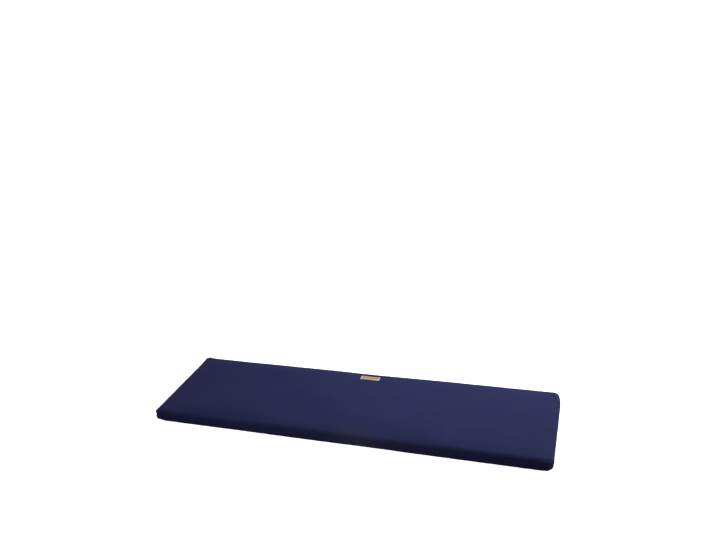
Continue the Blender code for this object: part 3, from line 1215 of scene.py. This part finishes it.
navy_thread = thread_finish("navy thread", NAVY_THREAD, 0.7)
pale_thread = thread_finish("pale thread", PALE_THREAD, 0.6)
print("threads:", navy_thread.name, "and", pale_thread.name)

# %% [markdown]
# ## Leather
#
# Leather has a grain of small pebbles with creases between them, and larger, softer marks from the hide.
# A Voronoi texture gives the pebbles, because its cells meet in sharp creases as they do, and noise gives
# the marks. The patch is paler at its ends, and its cut edge is rubbed dark and smooth. How far a point is
# from the end or the edge comes from the flat map and from the number noted when the patch was cut, so
# the colours follow the shape.

# %% Dye the leather
LEATHER = (0.41, 0.30, 0.195, 1)
LEATHER_END = (0.545, 0.425, 0.41, 1)
LEATHER_EDGE = (0.040, 0.022, 0.020, 1)
END_RANGE = (PATCH_LENGTH / 2 - 0.009, PATCH_LENGTH / 2 - 0.005)  # where the pale ends start
RIM_RANGE = (0.0005, 0.0015)  # how far in the dark edge reaches
HIDE_SCALE, HIDE_DETAIL = 160.0, 5.0
HIDE_RANGE, HIDE_TONE, HIDE_ROUGH = (0.3, 0.7), (0.82, 1.12), (0.62, 0.48)  # pale marks are smoother
HIDE_RELIEF = 0.6
PEBBLE_SCALE = 1400.0
GRAIN_STRENGTH, GRAIN_HEIGHT = 0.4, 0.00015

leather, tree, shader = new_material("tan leather")
flat = flat_map(tree)
from_middle = add_node(tree, "ShaderNodeSeparateXYZ", {"Vector": flat}).outputs["X"]
to_end = mapped(tree, worked_out(tree, "ABSOLUTE", from_middle), END_RANGE, (0.0, 1.0), "SMOOTHSTEP")
hide = cloudy(tree, flat, HIDE_SCALE, HIDE_DETAIL)
creases = add_node(
    tree, "ShaderNodeTexVoronoi", {"Vector": flat, "Scale": PEBBLE_SCALE}, feature="DISTANCE_TO_EDGE",
).outputs["Distance"]
marks = mapped(tree, hide, HIDE_RANGE, HIDE_TONE)
base = brightened(tree, mixed(tree, to_end, LEATHER, LEATHER_END), marks)
to_rim = mapped(tree, noted(tree, "from_edge"), RIM_RANGE, (1.0, 0.0), "SMOOTHSTEP")
grain = worked_out(tree, "MULTIPLY_ADD", hide, HIDE_RELIEF, creases)
finish_with(tree, shader, {
    "Base Color": mixed(tree, to_rim, base, LEATHER_EDGE),
    "Roughness": mapped(tree, hide, HIDE_RANGE, HIDE_ROUGH),
    "Normal": raised(tree, grain, GRAIN_STRENGTH, GRAIN_HEIGHT),
}, {
    "Specular IOR Level": 0.35,
})
print("the leather has", len(tree.nodes), "nodes")

# %% [markdown]
# ## Finishes on the pieces
#
# Each piece now gets its finish and is tied to the frame. It rides on the pad's only body. The cover and
# the leather stand for the two solids, which are hidden, and the threads are added to them.
# This could be done where each piece is made, but in one table it is easy to see that none was forgotten.

# %% Dress each piece
for piece, finish, slot in (
    (cover, cloth, "cover"),
    (top_thread, navy_thread, "cover"),
    (low_thread, navy_thread, "cover"),
    (patch, leather, "patch"),
    (patch_thread, pale_thread, "patch"),
):
    piece.data.materials.clear()
    piece.data.materials.append(finish)
    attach(piece, "root")
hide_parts("cushion")
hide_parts("patch")
print("finishes:", [finish.name for finish in (cloth, navy_thread, leather, pale_thread)])

# %% [markdown]
# ## The paper floor
#
# The pad lies on seamless white paper that shows no line where floor and wall meet. A plane would end
# somewhere in a low view, so the paper is a wide round bowl: flat under the pad and curved up far away on
# all sides. It glows by itself, so that it comes out pure white as in the photograph, and only the camera
# sees it, so that it neither brightens the pad from below nor shades it.

# %% Roll out the paper
FLOOR_GLOW = 1.0
FLOOR_GAP = 0.0002
BOWL_FLAT = 10.0  # how far the paper is flat
BOWL_CURVE = 6.0
BOWL_STEPS = 17  # rings in the curve
BOWL_TOP = 25.0
BOWL_SIDES = 64


def roll_out_paper():
    """Paper that lies flat under the pad and curves up far away on all sides."""
    turn = [
        (BOWL_FLAT + BOWL_CURVE * math.sin(angle), BOWL_CURVE * (1 - math.cos(angle)))
        for angle in np.linspace(0, math.pi / 2, BOWL_STEPS)
    ]
    profile = turn + [(turn[-1][0], BOWL_TOP)]
    ways = [2 * math.pi * side / BOWL_SIDES for side in range(BOWL_SIDES)]
    corners = [
        (radius * math.cos(way), radius * math.sin(way), height - FLOOR_GAP)
        for radius, height in profile
        for way in ways
    ]
    faces = [tuple(range(BOWL_SIDES))]
    for ring in range(len(profile) - 1):
        for side in range(BOWL_SIDES):
            here, after = ring * BOWL_SIDES + side, ring * BOWL_SIDES + (side + 1) % BOWL_SIDES
            faces.append((here, here + BOWL_SIDES, after + BOWL_SIDES, after))
    return new_piece("floor", corners, faces)


floor = roll_out_paper()
paper, tree, shader = new_material("white paper")
finish_with(tree, shader, {}, {
    "Base Color": (0.8, 0.8, 0.8, 1),
    "Roughness": 1.0,
    "Specular IOR Level": 0.0,
    "Emission Color": (1, 1, 1, 1),
    "Emission Strength": FLOOR_GLOW,
})
floor.data.materials.append(paper)
floor.visible_diffuse = False
floor.visible_glossy = False
floor.visible_shadow = False
print("the paper is", [round(side) for side in floor.dimensions], "m")

# %% [markdown]
# ## Light
#
# The light in the photograph is that of a bright studio: hardly any shadow, an even top, and a front band
# that is much darker than the top. Three large soft boxes behind, above and to the right light the top. The
# band is turned away from them, so it gets only a weak, warm sky that is brightest in front, a small warm
# box in front and a cool one at the front left. A box at each end keeps the ends from going black. One
# strong lamp would be simpler, but it would draw a hard line between light and dark on the rolled edges.
#
# The view is set to Standard, because the filmic looks would turn the white paper grey.

# %% Light the pad
SKY_STRENGTH = 0.31
SKY_COLOUR = (1.0, 0.92, 0.67, 1)
SKY_WAY = (0.0, -0.985, 0.174)  # where the sky is brightest
SKY_FOCUS = 2.0  # how quickly it darkens away from there
WHITE = (1.0, 1.0, 1.0)
SOFTBOXES = (
    # name, place, aimed at, size, power in watts, colour
    ("softbox_behind", (0.3, 1.3, 1.2), (0.2, 0.0, 0.0), 0.8, 17.4, WHITE),
    ("softbox_above", (0.5, 0.9, 1.4), (0.25, 0.0, 0.0), 0.8, 14.2, WHITE),
    ("softbox_right", (1.2, 1.2, 1.0), (0.3, 0.0, 0.0), 0.8, 6.0, WHITE),
    ("softbox_left", (-1.0, -1.5, 0.8), (0.0, 0.0, 0.0), 0.8, 4.2, (0.72, 0.66, 1.0)),
    ("softbox_front", (0.0, -0.9, 0.3), (0.0, 0.0, 0.0), 0.5, 1.9, (1.0, 0.83, 0.74)),
    ("softbox_left_end", (-1.8, 0.1, 0.2), (-0.6, 0.0, 0.0), 0.6, 1.6, WHITE),
    ("softbox_right_end", (1.8, 0.1, 0.2), (0.6, 0.0, 0.0), 0.6, 5.5, WHITE),
)


def light_sky():
    """A weak sky that is brightest in one direction and dark on the other side."""
    world = bpy.data.worlds.new("studio")
    world.use_nodes = True
    scene.world = world
    tree = world.node_tree
    way = add_node(tree, "ShaderNodeTexCoord", {}).outputs["Generated"]
    facing = add_node(tree, "ShaderNodeVectorMath", {0: way, 1: SKY_WAY}, operation="DOT_PRODUCT")
    lobe = worked_out(tree, "POWER", worked_out(tree, "MAXIMUM", facing.outputs["Value"], 0.0), SKY_FOCUS)
    strength = worked_out(tree, "MULTIPLY", lobe, SKY_STRENGTH)
    finish_with(tree, tree.nodes["Background"], {"Strength": strength}, {"Color": SKY_COLOUR})


def add_softbox(name, place, aim, size, power, colour):
    """A square soft light at a place, turned towards another."""
    lamp = bpy.data.lights.new(name, "AREA")
    lamp.size = size
    lamp.energy = power
    lamp.color = colour
    box = bpy.data.objects.new(name, lamp)
    box.location = place
    box.rotation_euler = (Vector(aim) - Vector(place)).to_track_quat("-Z", "Y").to_euler()
    box.visible_camera = False
    scene.collection.objects.link(box)


light_sky()
watts = 0
for name, place, aim, size, power, colour in SOFTBOXES:
    add_softbox(name, place, aim, size, power, colour)
    watts += power
scene.view_settings.view_transform = "Standard"
print("soft boxes:", len(SOFTBOXES), "with", round(watts, 1), "watts in all")
